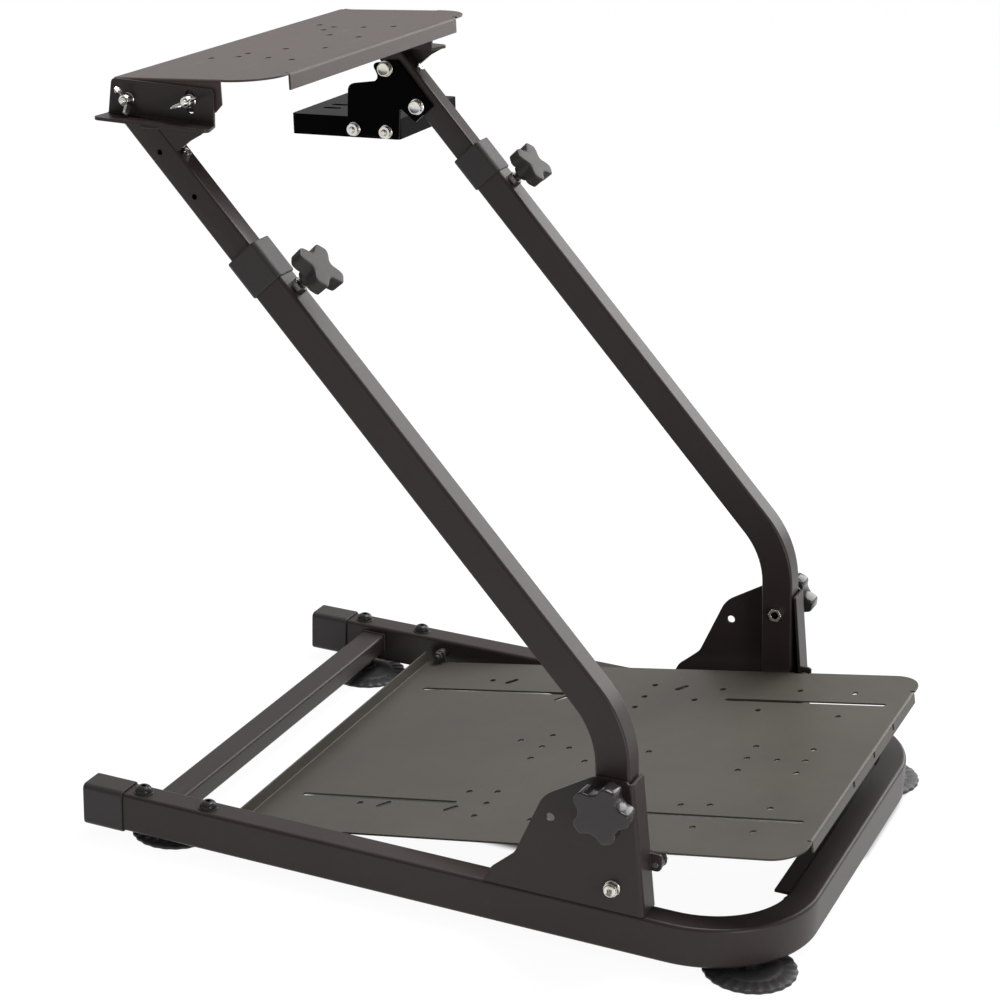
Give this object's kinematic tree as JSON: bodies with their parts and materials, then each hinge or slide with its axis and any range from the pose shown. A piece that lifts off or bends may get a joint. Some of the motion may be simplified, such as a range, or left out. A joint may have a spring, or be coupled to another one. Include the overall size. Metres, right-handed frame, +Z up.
{
  "type": "racing wheel stand",
  "caption": "Free-standing black tubular steel stand: U-shaped base with a sloping pedal plate, two leaning telescopic arms, a tilting wheel plate and a side shifter tray.",
  "frame": {"origin": "on the floor, under the middle of the stand's overall box", "axes": "+Z up, +X from the seat towards the pedals, +Y towards the shifter's side"},
  "size_m": [0.7442, 0.6582, 0.7567],
  "materials": {
    "frame_black": "satin black powder coat",
    "plate_black": "fine-textured black powder coat",
    "shifter_black": "gloss black",
    "plastic_black": "fine matt",
    "foot_plastic": "satin",
    "knob_plastic": "fine grain",
    "zinc_steel": "bright zinc plate"
  },
  "bodies": {
    "base": {"base_tube": "frame_black", "rear_cross_tube": "frame_black", "end_cap_near": "plastic_black", "end_cap_far": "plastic_black", "arm_bracket_near": "frame_black", "arm_bracket_far": "frame_black", "foot_rear_near": "foot_plastic", "foot_rear_far": "foot_plastic", "foot_front_near": "foot_plastic", "foot_front_far": "foot_plastic", "pedal_plate": "plate_black", "pedal_rear_bolt_near": "zinc_steel", "pedal_rear_bolt_far": "zinc_steel", "pedal_front_bolt_near": "zinc_steel", "pedal_front_bolt_far": "zinc_steel", "pivot_bolt_near": "zinc_steel", "pivot_bolt_far": "zinc_steel"},
    "arms": {"outer_arm_near": "frame_black", "outer_arm_far": "frame_black", "arm_collar_near": "plastic_black", "arm_collar_far": "plastic_black", "lock_nut_near": "zinc_steel", "lock_nut_far": "zinc_steel", "height_nut_near": "zinc_steel", "height_nut_far": "zinc_steel"},
    "head": {"inner_arm_near": "frame_black", "inner_arm_far": "frame_black", "wheel_bracket_near": "frame_black", "wheel_bracket_far": "frame_black", "shifter_hanger": "shifter_black", "shifter_tray": "shifter_black"},
    "wheel_desk": {"wheel_plate": "plate_black", "wing_bolt_rear_near": "zinc_steel", "wing_bolt_rear_far": "zinc_steel", "wing_bolt_front_near": "zinc_steel", "wing_bolt_front_far": "zinc_steel"},
    "lock_knob_near": {"lock_knob_near": "knob_plastic"},
    "lock_knob_far": {"lock_knob_far": "knob_plastic"},
    "height_knob_near": {"height_knob_near": "knob_plastic"},
    "height_knob_far": {"height_knob_far": "knob_plastic"}
  },
  "joints": [
    {"name": "arm_fold", "type": "hinge", "parent": "base", "child": "arms", "pos_m": [0.20841, -0.04383, 0.0745], "axis": [0, -1, 0], "range_deg": [0, 44.5]},
    {"name": "height_slide", "type": "slide", "parent": "arms", "child": "head", "axis": [-0.6909, 0, 0.723], "range_m": [-0.045, 0.075]},
    {"name": "wheel_tilt", "type": "hinge", "parent": "head", "child": "wheel_desk", "pos_m": [-0.29272, -0.04383, 0.72778], "axis": [0, -1, 0], "range_deg": [-7, 5]},
    {"name": "lock_knob_turn_near", "type": "hinge", "parent": "base", "child": "lock_knob_near", "pos_m": [0.20328, -0.30207, 0.15834], "axis": [0, -1, 0], "continuous": true},
    {"name": "height_knob_turn_near", "type": "hinge", "parent": "arms", "child": "height_knob_near", "pos_m": [-0.11171, -0.28253, 0.58671], "axis": [0.723, 0, 0.6909], "continuous": true},
    {"name": "lock_knob_turn_far", "type": "hinge", "parent": "base", "child": "lock_knob_far", "pos_m": [0.20328, 0.21443, 0.15834], "axis": [0, 1, 0], "continuous": true},
    {"name": "height_knob_turn_far", "type": "hinge", "parent": "arms", "child": "height_knob_far", "pos_m": [-0.11171, 0.19487, 0.58671], "axis": [0.723, 0, 0.6909], "continuous": true}
  ]
}
